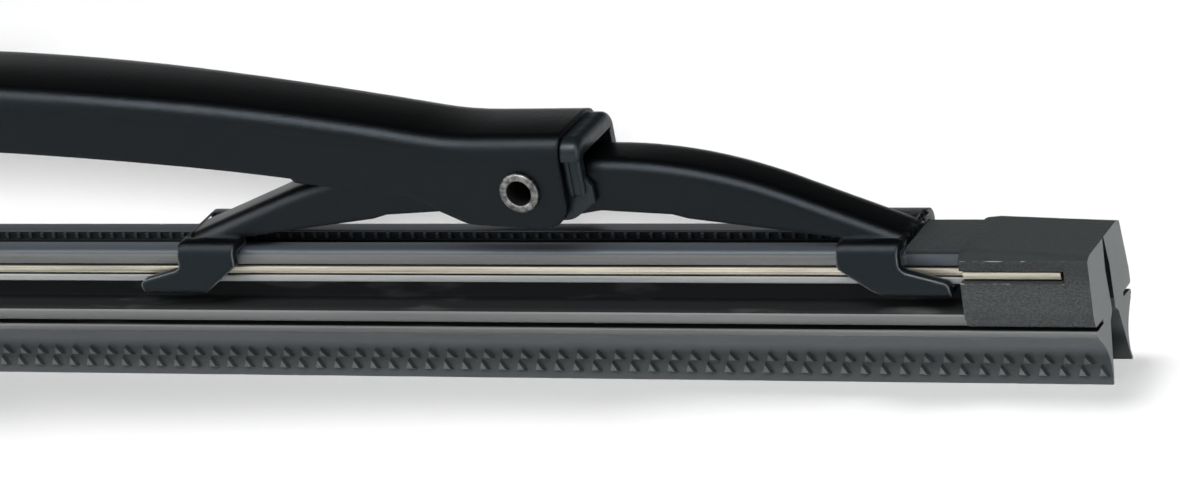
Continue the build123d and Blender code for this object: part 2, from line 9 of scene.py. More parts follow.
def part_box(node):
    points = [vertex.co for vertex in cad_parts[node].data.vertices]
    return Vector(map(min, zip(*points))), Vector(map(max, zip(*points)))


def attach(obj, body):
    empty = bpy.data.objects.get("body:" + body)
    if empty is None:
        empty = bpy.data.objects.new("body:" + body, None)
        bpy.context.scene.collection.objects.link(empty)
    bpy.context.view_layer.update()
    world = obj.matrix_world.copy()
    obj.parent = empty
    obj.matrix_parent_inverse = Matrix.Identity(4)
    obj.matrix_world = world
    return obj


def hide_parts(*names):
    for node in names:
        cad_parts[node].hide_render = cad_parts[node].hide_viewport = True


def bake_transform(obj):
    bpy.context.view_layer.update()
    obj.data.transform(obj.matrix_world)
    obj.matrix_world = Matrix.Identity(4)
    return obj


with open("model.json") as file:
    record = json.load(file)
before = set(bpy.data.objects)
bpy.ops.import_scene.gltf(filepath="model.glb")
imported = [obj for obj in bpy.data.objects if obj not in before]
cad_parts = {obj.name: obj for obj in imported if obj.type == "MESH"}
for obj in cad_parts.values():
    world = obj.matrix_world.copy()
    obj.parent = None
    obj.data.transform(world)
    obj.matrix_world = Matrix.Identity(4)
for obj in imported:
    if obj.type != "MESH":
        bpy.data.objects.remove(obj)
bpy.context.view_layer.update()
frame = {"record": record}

MM = 0.001

# Section of the rubber in millimetres, measured down from its top
HEAD_HALF = 3.1
TOP_SLOT_HALF = 1.2
TOP_SLOT_DEPTH = 0.9
UPPER_FLANGE = 1.3
STRIP_SLOT = 0.92
STRIP_SLOT_FLOOR = 1.04
LOWER_FLANGE = 0.6
LOWER_FLANGE_HALF = 3.4
CLAW_GROOVE = 2.15
WEB_HALF = 1.7
RIDGE_HALF = 4.5
RIDGE_HEIGHT = 1.25
RIDGE_ROUND = 0.7
NECK_HALF = 2.6
NECK_GAP = 0.45
LIP_SHOULDER_HALF = 4.35
LIP_SHOULDER_HEIGHT = 0.5
SHOULDER_STEP = 0.2
LIP_HEIGHT = 5.6
LIP_WAIST_HALF = 2.5
LIP_EDGE_HALF = 2.6
LIP_EDGE = 0.28
LIP_ROOT_HALF = 1.05
VALLEY_RISE = 0.1
SLIT_HALF = 0.15
SLIT_HEIGHT = 3.2
FINE_ROUND = 0.1
TOP_SLOT_FLOOR_ROUND = 0.08
TOP_SLOT_EDGE_ROUND = 0.15
HEAD_ROUND = 0.6
LOWER_FLANGE_ROUND = 0.12
WEB_ROUND = 0.25
RIDGE_LOW_ROUND = 0.4
LIP_TOP_ROUND = 0.22
SHOULDER_ROUND = 0.06
SHOULDER_SLOPE = 0.04
LIP_ROOT_ROUND = 0.3
ROUND_STEPS = 4
HOLLOW_STEPS = 12

# Levels in the rubber's section
FLANGE_BOTTOM = -(UPPER_FLANGE + STRIP_SLOT + LOWER_FLANGE)
RIDGE_TOP = FLANGE_BOTTOM - CLAW_GROOVE
RIDGE_BOTTOM = RIDGE_TOP - RIDGE_HEIGHT
LIP_TOP = RIDGE_BOTTOM - NECK_GAP
SHOULDER = LIP_TOP - LIP_SHOULDER_HEIGHT
LIP_EDGE_LEVEL = LIP_TOP - LIP_HEIGHT
SLIT_TOP = LIP_TOP + VALLEY_RISE + SLIT_HEIGHT

# Moulded block at each end of the rubber
BLOCK_LENGTH = 11.4
BLOCK_RISE = 0.5
BLOCK_FALL = 0.6
BLOCK_CAP_HALF = 3.5
BLOCK_SHOULDER_HALF = 4.1
BLOCK_SHOULDER_DROP = 0.41
BLOCK_BULGE_HALF = 4.6
BLOCK_START_ROUND = 0.2
BLOCK_CAP_ROUND = 1.0
BLOCK_SHOULDER_ROUND = 0.12
BLOCK_BULGE_ROUND = 0.5
BLOCK_LOW_ROUND = 0.25
TOP_RAMP = 1.1
LAND_LENGTH = 4.9
LAND_RISE = 0.3
LAND_STAND = 0.03
LAND_ROUND = 0.5
POCKET_GAP = 2.2
POCKET_DROP = 0.1
POCKET_TOP_STAND = 0.12
POCKET_LOW_STAND = 0.26
POCKET_ROUND = 0.08
END_SLIT_DEPTH = 2.0
END_SLIT_HALF = 0.55
END_SLIT_LOW_HALF = 0.4
END_SLIT_MIDDLE = -2.8
END_SLIT_TOP = -0.12
END_STEP = 0.02

# Spring steel strips
STRIP_WIDTH = 2.1
STRIP_THICKNESS = 0.7
STRIP_SAG = 0.05
STRIP_LEVEL = -UPPER_FLANGE - STRIP_SLOT / 2 - STRIP_SAG
STRIP_OUTER = 3.2
STRIP_END_OUTER = 3.9
STRIP_END_GAP = 2.6
STRIP_ROUND = 0.12

# Small pyramids on the lips and bars along the top slot
NUB_PITCH = 1.7826
NUB_WIDTH = 1.05
NUB_HEIGHT = 1.08
NUB_STAND = 0.36
NUB_LEAN = 0.14
NUB_TIP = 0.06
NUB_FLAT = 0.62
NUB_SINK = 0.03
NUB_ROWS = ((-10.0, 1.9), (-11.1, 0.7))  # level of each row, and its first pyramid's distance from the end
BAR_PITCH = 1.2
BAR_WIDTH = 0.3
BAR_STAND = 0.2
BAR_DROP = 0.65

# Burr on the outermost right claw
BURR_START = -2.9
BURR_END = 2.9
BURR_STEPS = 22
BURR_SIDES = 7
BURR_SIZE = 0.3
BURR_MEAN = 0.75
BURR_SWELL = 0.25
BURR_SWELL_RATE = 4.1
BURR_DRIFT = 0.2
BURR_DRIFT_RATE = 1.7
BURR_LIFT = 0.08
BURR_LIFT_RATE = 2.3
BURR_DENT = 0.25
BURR_DENT_ROUND_RATE = 3.7
BURR_DENT_ALONG_RATE = 2.9
CLAW_OVERHANG = 16.65
CLAW_RISE = 0.82

# Places along the blade, from the frame
rubber_low, rubber_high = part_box("squeegee")
BLADE_END = rubber_high.x / MM
RUBBER_TOP = rubber_high.z / MM - BLOCK_RISE
FLOOR_LEVEL = rubber_low.z
BLOCK_START = BLADE_END - BLOCK_LENGTH
LAND_START = BLOCK_START - LAND_LENGTH
POCKET_END = BLADE_END - POCKET_GAP
CLAW_END = BLADE_END - CLAW_OVERHANG
CLAW_EDGE_LEVEL = RUBBER_TOP + CLAW_RISE
pivots = {joint["name"]: joint["pos_m"][0] / MM for joint in frame["record"]["behaviour"]["joints"]}
LEVER_X = pivots["lever_pivot_right"]
INNER_YOKE_X = pivots["yoke_pivot_right_inner"]
MIDDLE_SEAM = 22.0
INNER_CLAW_END = 29.0
BEND_START = 1.0
BEND_END = 23.0
STATION_STEP = 1.1

# Angles in degrees, over which an edge of a new mesh or of a CAD node stays sharp
MESH_SHARP_ANGLE = 40
NODE_SHARP_ANGLE = 35


# Meshes

def mirrored(half):
    """Whole outline from one half: the half, then its mirror image back again."""
    return half + [(-corner[0],) + tuple(corner[1:]) for corner in reversed(half)]


def rounded_outline(corners):
    """Points of a closed outline through corners (y, z, radius), each rounded by its radius."""
    outline = []
    for before, corner, after in zip(corners[-1:] + corners[:-1], corners, corners[1:] + corners[:1]):
        here = Vector(corner[:2])
        radius = corner[2]
        if radius == 0:
            outline.append(here)
            continue
        back = (Vector(before[:2]) - here).normalized()
        ahead = (Vector(after[:2]) - here).normalized()
        half_turn = back.angle(ahead) / 2
        setback = radius / math.tan(half_turn)
        centre = here + (back + ahead).normalized() * radius / math.sin(half_turn)
        first = (here + back * setback - centre).normalized()
        last = (here + ahead * setback - centre).normalized()
        for step in range(ROUND_STEPS + 1):
            outline.append(centre + radius * first.slerp(last, step / ROUND_STEPS))
    return outline


def lip_half_width(level):
    """Half width of the lips at a level, on the arc through shoulder, waist and edge."""
    middle = (SHOULDER + LIP_EDGE_LEVEL) / 2
    reach = (SHOULDER - LIP_EDGE_LEVEL) / 2
    place = (level - middle) / reach
    bow = (LIP_SHOULDER_HALF + LIP_EDGE_HALF) / 2 - LIP_WAIST_HALF
    return LIP_WAIST_HALF + (LIP_SHOULDER_HALF - LIP_EDGE_HALF) / 2 * place + bow * place**2


def head_corners():
    """Half of the section from the top slot down to the ridge's lower edge."""
    slot_low = -UPPER_FLANGE - STRIP_SLOT
    return [
        (0, -TOP_SLOT_DEPTH, 0),
        (TOP_SLOT_HALF, -TOP_SLOT_DEPTH, TOP_SLOT_FLOOR_ROUND),
        (TOP_SLOT_HALF, 0, TOP_SLOT_EDGE_ROUND),
        (HEAD_HALF, 0, HEAD_ROUND),
        (HEAD_HALF, -UPPER_FLANGE, FINE_ROUND),
        (STRIP_SLOT_FLOOR, -UPPER_FLANGE, 0),
        (STRIP_SLOT_FLOOR, slot_low, 0),
        (LOWER_FLANGE_HALF, slot_low, LOWER_FLANGE_ROUND),
        (LOWER_FLANGE_HALF, FLANGE_BOTTOM, FINE_ROUND),
        (WEB_HALF, FLANGE_BOTTOM, FINE_ROUND),
        (WEB_HALF, RIDGE_TOP, WEB_ROUND),
        (RIDGE_HALF, RIDGE_TOP, RIDGE_ROUND),
        (RIDGE_HALF, RIDGE_BOTTOM, RIDGE_LOW_ROUND),
        (NECK_HALF, RIDGE_BOTTOM, FINE_ROUND),
    ]


def lip_corners():
    """Half of the section from the neck down round one lip to the slit."""
    height = LIP_EDGE_LEVEL - SHOULDER
    levels = [SHOULDER + height * step / HOLLOW_STEPS for step in range(1, HOLLOW_STEPS + 1)]
    hollow = [(lip_half_width(level), level, 0) for level in levels]
    return [
        (NECK_HALF, LIP_TOP, FINE_ROUND),
        (LIP_SHOULDER_HALF, LIP_TOP, LIP_TOP_ROUND),
        (LIP_SHOULDER_HALF, SHOULDER, SHOULDER_ROUND),
        (LIP_SHOULDER_HALF - SHOULDER_STEP, SHOULDER - SHOULDER_SLOPE, 0),
        (LIP_SHOULDER_HALF - SHOULDER_STEP, SHOULDER - SHOULDER_STEP, 0),
        *hollow,
        (LIP_EDGE_HALF - LIP_EDGE, LIP_EDGE_LEVEL, 0),
        (LIP_ROOT_HALF, SHOULDER, LIP_ROOT_ROUND),
        (SLIT_HALF, LIP_TOP + VALLEY_RISE, FINE_ROUND),
    ]


def rubber_outline():
    """Whole section of the rubber."""
    slit = [(SLIT_HALF, SLIT_TOP, 0)]
    return rounded_outline(mirrored(head_corners() + lip_corners() + slit))


def lower_outline():
    """Section of the neck and lips alone, which run on below the end block."""
    top = [(SLIT_HALF, RIDGE_BOTTOM + NECK_GAP, 0), (NECK_HALF, RIDGE_BOTTOM + NECK_GAP, 0)]
    return rounded_outline(mirrored(top + lip_corners()))


def lip_outline(side):
    """Section of one lip and its half of the neck, where the end slit parts them."""
    top = [(END_SLIT_LOW_HALF, RIDGE_BOTTOM + NECK_GAP, 0), (NECK_HALF, RIDGE_BOTTOM + NECK_GAP, 0)]
    corners = top + lip_corners()[:-1] + [(END_SLIT_LOW_HALF, LIP_TOP + VALLEY_RISE, 0)]
    return rounded_outline([(side * y, z, radius) for y, z, radius in corners])


def block_outline(x, pocket, slit):
    """Section of the end block at x, with or without the strips' pockets and the slit in its end."""
    share = (x - BLOCK_START) / BLOCK_LENGTH
    ramped = min(1, max(0, (x - BLOCK_START - BLOCK_START_ROUND) / TOP_RAMP))
    top = LAND_RISE + (BLOCK_RISE - BLOCK_FALL * share - LAND_RISE) * ramped
    low = -UPPER_FLANGE - STRIP_SLOT - POCKET_DROP
    side = []
    if pocket:
        side = [
            (BLOCK_SHOULDER_HALF + POCKET_TOP_STAND, -UPPER_FLANGE, POCKET_ROUND),
            (STRIP_SLOT_FLOOR, -UPPER_FLANGE, 0),
            (STRIP_SLOT_FLOOR, low, 0),
            (BLOCK_SHOULDER_HALF + POCKET_LOW_STAND, low, POCKET_ROUND),
        ]
    bottom = [(0, RIDGE_BOTTOM, 0)]
    if slit:
        bottom = [
            (END_SLIT_LOW_HALF, RIDGE_BOTTOM, 0),
            (END_SLIT_HALF, END_SLIT_MIDDLE, 0),
            (SLIT_HALF, END_SLIT_TOP, 0),
        ]
    half = [
        (0, top, 0),
        (BLOCK_CAP_HALF, top, BLOCK_CAP_ROUND),
        (BLOCK_SHOULDER_HALF, -BLOCK_SHOULDER_DROP, BLOCK_SHOULDER_ROUND),
        *side,
        (BLOCK_BULGE_HALF, RIDGE_TOP, BLOCK_BULGE_ROUND),
        (RIDGE_HALF, RIDGE_BOTTOM, BLOCK_LOW_ROUND),
        *bottom,
    ]
    return rounded_outline(mirrored(half))


def section_at(x, outline, inset=0.0):
    """Outline set across the blade at x, drawn in by inset all round."""
    middle = sum(outline, Vector((0, 0))) / len(outline)
    points = []
    for point in outline:
        away = point - middle
        drawn = middle + away * (1 - inset / max(away.length, inset))
        points.append(Vector((x, drawn.x, RUBBER_TOP + drawn.y)) * MM)
    return points


def loft(mesh, sections, finish_at, cap_finish):
    """Closed skin over sections that have the same number of points; finish_at gives the finish at (y, z)."""
    rings = [[mesh.verts.new(point) for point in section] for section in sections]
    for ring, following in zip(rings, rings[1:]):
        for first, second in zip(range(-1, len(ring) - 1), range(len(ring))):
            face = mesh.faces.new((ring[first], ring[second], following[second], following[first]))
            middle = (ring[first].co + ring[second].co) / 2 / MM
            face.material_index = finish_at(middle.y, middle.z - RUBBER_TOP)
            face.smooth = True
    for ring in (rings[0], rings[-1]):
        mesh.faces.new(ring).material_index = cap_finish


def stations(start, end):
    """Places from start to end, evenly spread at about the step between stations."""
    count = max(1, round(abs(end - start) / STATION_STEP))
    return [start + (end - start) * step / count for step in range(count + 1)]


def add_nub(mesh, x, side, level):
    """Three-sided pyramid with a flat top and flanks in the lips' painted shade on the outer face of one lip,
    its point upward.
    """
    def on_lip(dx, dz, stand):
        width = lip_half_width(level + dz) + stand
        return Vector((x + dx, side * width, RUBBER_TOP + level + dz)) * MM

    half = NUB_WIDTH / 2
    corners = [(-half, -NUB_HEIGHT / 2), (half, -NUB_HEIGHT / 2), (-NUB_LEAN, NUB_HEIGHT / 2)]
    base = [mesh.verts.new(on_lip(dx, dz, -NUB_SINK)) for dx, dz in corners]
    top = [mesh.verts.new(on_lip(NUB_FLAT * dx - NUB_TIP, NUB_FLAT * dz, NUB_STAND)) for dx, dz in corners]
    # Two flanks take the lips' painted shade, darker than the top and the lower flank.
    for first, second, finish in ((0, 1, RUBBER), (1, 2, LIP), (2, 0, LIP)):
        mesh.faces.new((base[first], base[second], top[second], top[first])).material_index = finish
    for face in (base, top):
        mesh.faces.new(face).material_index = RUBBER


def add_box(mesh, low, high, finish):
    """Box between two corners in millimetres."""
    corners = [
        Vector((x, y, z)) * MM
        for x in (low[0], high[0])
        for y in (low[1], high[1])
        for z in (low[2], high[2])
    ]
    verts = [mesh.verts.new(corner) for corner in corners]
    for face in ((0, 1, 3, 2), (4, 6, 7, 5), (0, 4, 5, 1), (2, 3, 7, 6), (0, 2, 6, 4), (1, 5, 7, 3)):
        mesh.faces.new([verts[index] for index in face]).material_index = finish


def finished(name, mesh, materials):
    """Object of a mesh, with its sharp edges marked."""
    bmesh.ops.recalc_face_normals(mesh, faces=mesh.faces)
    data = bpy.data.meshes.new(name)
    mesh.to_mesh(data)
    mesh.free()
    data.set_sharp_from_angle(angle=math.radians(MESH_SHARP_ANGLE))
    for material in materials:
        data.materials.append(material)
    obj = bpy.data.objects.new(name, data)
    bpy.context.collection.objects.link(obj)
    return obj


# Materials

# Radii in metres, of the crown of the roofs, of edges that shading rounds, and of the painted edge highlight
ROOF_CROWN = 0.026
PAINT_EDGE = 0.0006
PLASTIC_EDGE = 0.0002
RIVET_EDGE = 0.00025
EDGE_HIGHLIGHT_RADIUS = 0.0003

# How edges are found, and the height in millimetres over which the claws' painted edge highlight fades out
BEVEL_SAMPLES = 4
EDGE_LIKENESS = 0.75
FACE_LIKENESS = 0.97
CLAW_FADE = 0.4

# Colours in red, green and blue
PAINT_BLACK = (0.001, 0.0024, 0.0032)
# The paler paint colour is a painted highlight for the claws' sharp edges.
PAINT_EDGE_HIGHLIGHT = (0.2, 0.21, 0.215)
PLASTIC_BLACK = (0.005, 0.007, 0.008)
STRIP_PALE = (0.6, 0.56, 0.46)
# The lips' low colour is painted shade.
LIP_LOW_SHADE = (0.023, 0.028, 0.03)
WHITE = (1, 1, 1)


def shader(name, colour, roughness, metallic=0.0, specular=0.5):
    """Material with a plain shader, and the parts of its tree that other nodes are joined to."""
    material = bpy.data.materials.new(name)
    material.use_nodes = True
    tree = material.node_tree
    bsdf = tree.nodes["Principled BSDF"]
    bsdf.inputs["Base Color"].default_value = (*colour, 1)
    bsdf.inputs["Roughness"].default_value = roughness
    bsdf.inputs["Metallic"].default_value = metallic
    bsdf.inputs["Specular IOR Level"].default_value = specular
    return material, tree, bsdf


def noise(tree, scale, detail, stretch=(1, 1, 1)):
    """Noise over the object's own coordinates."""
    place = tree.nodes.new("ShaderNodeTexCoord")
    mapping = tree.nodes.new("ShaderNodeMapping")
    mapping.inputs["Scale"].default_value = stretch
    texture = tree.nodes.new("ShaderNodeTexNoise")
    texture.inputs["Scale"].default_value = scale
    texture.inputs["Detail"].default_value = detail
    tree.links.new(place.outputs["Object"], mapping.inputs["Vector"])
    tree.links.new(mapping.outputs["Vector"], texture.inputs["Vector"])
    return texture.outputs["Fac"]


def ramp(tree, value, stops):
    """Colours along a value; stops are (place, colour)."""
    node = tree.nodes.new("ShaderNodeValToRGB")
    node.color_ramp.elements[0].position = stops[0][0]
    node.color_ramp.elements[0].color = (*stops[0][1], 1)
    node.color_ramp.elements[1].position = stops[-1][0]
    node.color_ramp.elements[1].color = (*stops[-1][1], 1)
    for place, colour in stops[1:-1]:
        node.color_ramp.elements.new(place).color = (*colour, 1)
    tree.links.new(value, node.inputs["Fac"])
    return node.outputs["Color"]


def product(tree, first, second):
    """Two colours multiplied."""
    node = tree.nodes.new("ShaderNodeMix")
    node.data_type = "RGBA"
    node.blend_type = "MULTIPLY"
    node.inputs["Factor"].default_value = 1.0
    tree.links.new(first, node.inputs["A"])
    tree.links.new(second, node.inputs["B"])
    return node.outputs["Result"]


def spread(tree, value, low, high, start=0.0, end=1.0, eased=False):
    """Value from start to end moved to lie between low and high, in a straight line or eased at both ends."""
    node = tree.nodes.new("ShaderNodeMapRange")
    if eased:
        node.interpolation_type = "SMOOTHSTEP"
    node.inputs["From Min"].default_value = start
    node.inputs["From Max"].default_value = end
    node.inputs["To Min"].default_value = low
    node.inputs["To Max"].default_value = high
    tree.links.new(value, node.inputs["Value"])
    return node.outputs["Result"]


def place_part(tree, axis):
    """One part, X, Y or Z, of the place in the object's own coordinates, in metres."""
    place = tree.nodes.new("ShaderNodeTexCoord")
    parts = tree.nodes.new("ShaderNodeSeparateXYZ")
    tree.links.new(place.outputs["Object"], parts.inputs["Vector"])
    return parts.outputs[axis]


def bumped(tree, value, height, normal=None):
    """Normal of a surface raised by height where the value is one, over another normal."""
    bump = tree.nodes.new("ShaderNodeBump")
    bump.inputs["Distance"].default_value = height
    tree.links.new(value, bump.inputs["Height"])
    if normal:
        tree.links.new(normal, bump.inputs["Normal"])
    return bump.outputs["Normal"]


def softened(tree, radius):
    """Normal of a surface whose edges are rounded by a radius."""
    bevel = tree.nodes.new("ShaderNodeBevel")
    bevel.samples = BEVEL_SAMPLES
    bevel.inputs["Radius"].default_value = radius
    return bevel.outputs["Normal"]


def crowned(tree, radius, normal):
    """Normal of a roof crowned across the blade by a radius, over another normal."""
    across = place_part(tree, "Y")
    square = tree.nodes.new("ShaderNodeMath")
    square.operation = "MULTIPLY"
    tree.links.new(across, square.inputs[0])
    tree.links.new(across, square.inputs[1])
    fall = tree.nodes.new("ShaderNodeMath")
    fall.operation = "MULTIPLY"
    fall.inputs[1].default_value = -1 / (2 * radius)
    tree.links.new(square.outputs["Value"], fall.inputs[0])
    return bumped(tree, fall.outputs["Value"], 1.0, normal)


def edge_mask(tree, radius):
    """One along sharp outer edges, fading to nothing within a radius."""
    face_normal = tree.nodes.new("ShaderNodeNewGeometry").outputs["Normal"]
    likeness = tree.nodes.new("ShaderNodeVectorMath")
    likeness.operation = "DOT_PRODUCT"
    tree.links.new(softened(tree, radius), likeness.inputs[0])
    tree.links.new(face_normal, likeness.inputs[1])
    return spread(tree, likeness.outputs["Value"], 1, 0, EDGE_LIKENESS, FACE_LIKENESS)


def relief(tree, bsdf, value, height, normal=None):
    """Fine relief on the surface, over another normal."""
    tree.links.new(bumped(tree, value, height, normal), bsdf.inputs["Normal"])


def black_paint():
    """Satin black paint on pressed steel, a little grainy, with a painted highlight, a paler colour, along
    the sharp edges of the claws.
    """
    material, tree, bsdf = shader("satin_black_paint", PAINT_BLACK, roughness=0.35, specular=0.22)
    bsdf.inputs["Specular Tint"].default_value = (0.8, 0.94, 1.06, 1)
    grain = noise(tree, scale=2600, detail=3)
    cloud = noise(tree, scale=90, detail=3)
    tree.links.new(spread(tree, cloud, low=0.3, high=0.4), bsdf.inputs["Roughness"])
    # Painted highlight: paler colour along sharp edges stands in for rim light. It stays below the claws'
    # top; above it the colour is cut to near black.
    edge = ramp(tree, edge_mask(tree, EDGE_HIGHLIGHT_RADIUS), [(0.0, PAINT_BLACK), (1.0, PAINT_EDGE_HIGHLIGHT)])
    claw_top = CLAW_EDGE_LEVEL * MM
    claws = spread(tree, place_part(tree, "Z"), 1, 0, claw_top - CLAW_FADE * MM, claw_top)
    shade = ramp(tree, claws, [(0.0, (0.01, 0.01, 0.01)), (1.0, WHITE)])
    tree.links.new(product(tree, edge, shade), bsdf.inputs["Base Color"])
    relief(tree, bsdf, grain, height=0.00002, normal=crowned(tree, ROOF_CROWN, softened(tree, PAINT_EDGE)))
    return material


def black_plastic():
    """Moulded black plastic, glossier than the paint."""
    material, tree, bsdf = shader("moulded_black_plastic", PLASTIC_BLACK, roughness=0.3, specular=0.32)
    bsdf.inputs["Specular Tint"].default_value = (0.8, 0.94, 1.0, 1)
    cloud = noise(tree, scale=700, detail=4)
    tree.links.new(spread(tree, cloud, low=0.2, high=0.42), bsdf.inputs["Roughness"])
    relief(tree, bsdf, cloud, height=0.00006, normal=softened(tree, PLASTIC_EDGE))
    return material


def rivet_steel():
    """Bright steel with the rough face of a rolled rim."""
    material, tree, bsdf = shader("rolled_rivet_steel", (0.3, 0.3, 0.29), roughness=0.32, metallic=1.0)
    grain = noise(tree, scale=2600, detail=4)
    colour = ramp(tree, grain, [(0.36, (0.06, 0.06, 0.06)), (0.66, (0.27, 0.27, 0.26))])
    tree.links.new(colour, bsdf.inputs["Base Color"])
    relief(tree, bsdf, grain, height=0.00006, normal=softened(tree, RIVET_EDGE))
    return material


def strip_steel():
    """Bare rolled spring steel with fine streaks along its length, and painted shade across its height:
    darker below with a dark line, and a dark upper edge.
    """
    material, tree, bsdf = shader("bare_strip_steel", STRIP_PALE, roughness=0.45, metallic=0.75)
    streak = noise(tree, scale=3000, detail=4, stretch=(0.02, 1, 1))
    colour = ramp(tree, streak, [(0.3, (0.3, 0.28, 0.23)), (0.65, STRIP_PALE)])
    # Painted shade across the strip's height: a darker lower part with a dark line, and a dark upper edge
    # where the rubber shades it.
    low = (RUBBER_TOP + STRIP_LEVEL - STRIP_THICKNESS / 2) * MM
    height = spread(tree, place_part(tree, "Z"), 0, 1, low, low + STRIP_THICKNESS * MM)
    strip_shade = ramp(tree, height, [
        (0.3, (0.8, 0.8, 0.8)),
        (0.38, (0.4, 0.4, 0.4)),
        (0.46, WHITE),
        (0.86, WHITE),
        (0.97, (0.35, 0.35, 0.35)),
    ])
    tree.links.new(product(tree, colour, strip_shade), bsdf.inputs["Base Color"])
    relief(tree, bsdf, streak, height=0.00003)
    return material


def rubber():
    """Matte dark grey rubber with faint streaks along the extrusion."""
    material, tree, bsdf = shader("dark_grey_rubber", (0.08, 0.083, 0.083), roughness=0.42)
    streak = noise(tree, scale=900, detail=5, stretch=(0.03, 1, 1))
    colour = ramp(tree, streak, [(0.3, (0.058, 0.061, 0.062)), (0.7, (0.096, 0.099, 0.098))])
    tree.links.new(colour, bsdf.inputs["Base Color"])
    relief(tree, bsdf, streak, height=0.00003)
    return material


def top_shade_rubber():
    """Rubber of the flat top, painted darker and bluish as painted shade and painted sky reflection, and
    smoother.
    """
    material, tree, bsdf = shader("bluish_top_shade_rubber", (0.034, 0.042, 0.052), roughness=0.45)
    streak = noise(tree, scale=900, detail=5, stretch=(0.05, 1, 1))
    relief(tree, bsdf, streak, height=0.00003)
    return material


def crevice_shade_rubber():
    """Rubber painted black as shade down in the slots and grooves, with a few dusty smears."""
    material, tree, bsdf = shader("crevice_shade_rubber", (0.01, 0.011, 0.012), roughness=0.7, specular=0.12)
    smear = noise(tree, scale=420, detail=3, stretch=(0.25, 1, 1))
    colour = ramp(tree, smear, [(0.55, (0.008, 0.009, 0.0095)), (0.7, (0.035, 0.038, 0.038))])
    tree.links.new(colour, bsdf.inputs["Base Color"])
    return material


def lip_rubber():
    """Rubber of the lips, with painted shade darkening it down where the pyramids are."""
    material, tree, bsdf = shader("lip_rubber", (0.06, 0.064, 0.065), roughness=0.5)
    low = (RUBBER_TOP + LIP_EDGE_LEVEL) * MM
    high = (RUBBER_TOP + SHOULDER) * MM
    height = spread(tree, place_part(tree, "Z"), 0, 1, low, high)
    shade = ramp(tree, height, [(0.48, LIP_LOW_SHADE), (0.72, (0.08, 0.09, 0.096)), (1.0, (0.085, 0.094, 0.1))])
    tree.links.new(shade, bsdf.inputs["Base Color"])
    streak = noise(tree, scale=900, detail=5, stretch=(0.06, 1, 1))
    relief(tree, bsdf, streak, height=0.00005)
    return material


def flange_light_rubber():
    """Rubber of the lower flange, painted paler than the rest as painted light where the strip shades it."""
    material, tree, bsdf = shader("flange_painted_light_rubber", (0.14, 0.143, 0.14), roughness=0.5)
    streak = noise(tree, scale=1400, detail=5, stretch=(0.03, 1, 1))
    colour = ramp(tree, streak, [(0.3, (0.14, 0.145, 0.146)), (0.7, (0.235, 0.24, 0.237))])
    tree.links.new(colour, bsdf.inputs["Base Color"])
    relief(tree, bsdf, streak, height=0.00003)
    return material


def worn_rubber():
    """Edge of the block rubbed pale here and there."""
    material, tree, bsdf = shader("worn_rubber_edge", (0.12, 0.125, 0.12), roughness=0.7, specular=0.2)
    patch = noise(tree, scale=1500, detail=4, stretch=(0.5, 1, 1))
    colour = ramp(tree, patch, [(0.5, (0.02, 0.023, 0.024)), (0.66, (0.2, 0.21, 0.2))])
    tree.links.new(colour, bsdf.inputs["Base Color"])
    return material


def block_rubber():
    """Rubber of the moulded end block, with the grain of its mould, and painted shade darkening it towards
    the top.
    """
    material, tree, bsdf = shader("moulded_block_rubber", (0.033, 0.038, 0.039), roughness=0.6, specular=0.38)
    grain = noise(tree, scale=5200, detail=3)
    colour = ramp(tree, grain, [(0.35, (0.014, 0.017, 0.0175)), (0.65, (0.036, 0.041, 0.042))])
    # Painted shade: the block darker towards its top.
    low = (RUBBER_TOP + RIDGE_BOTTOM) * MM
    height = spread(tree, place_part(tree, "Z"), 0, 1, low, (RUBBER_TOP - BLOCK_SHOULDER_DROP) * MM)
    shade = ramp(tree, height, [(0.55, WHITE), (0.82, (0.45, 0.45, 0.45)), (1.0, (0.4, 0.4, 0.4))])
    tree.links.new(product(tree, colour, shade), bsdf.inputs["Base Color"])
    relief(tree, bsdf, grain, height=0.00016)
    return material


def cap_shade_rubber():
    """Top and shoulders of the end block in painted shade, darker and smoother than its sides."""
    material, tree, bsdf = shader("block_cap_shade_rubber", (0.01, 0.0125, 0.0135), roughness=0.6, specular=0.17)
    grain = noise(tree, scale=2400, detail=3)
    relief(tree, bsdf, grain, height=0.0001)
    return material


def dark_bore():
    """Unlit inside of the hollow rivets and the tube."""
    return shader("dark_bore", (0.004, 0.004, 0.004), roughness=0.8, specular=0.1)[0]


def cut_rubber():
    """Smooth grey face where the rubber was cut to length."""
    material, tree, bsdf = shader("cut_rubber", (0.165, 0.175, 0.175), roughness=0.6)
    cloud = noise(tree, scale=1500, detail=4)
    relief(tree, bsdf, cloud, height=0.00004)
    return material


# Pieces

# Finish indices; the top, crevice, lip, cap and block finishes carry painted shade, the flange finish painted
# light.
RUBBER, TOP_SHADE, CREVICE_SHADE, BLOCK, WORN, CUT, LIP, CAP_SHADE, FLANGE_LIGHT = range(9)
EDGE_BAND = 0.14
TOP_EDGE = 0.3
BORE_MARGIN = 1.04


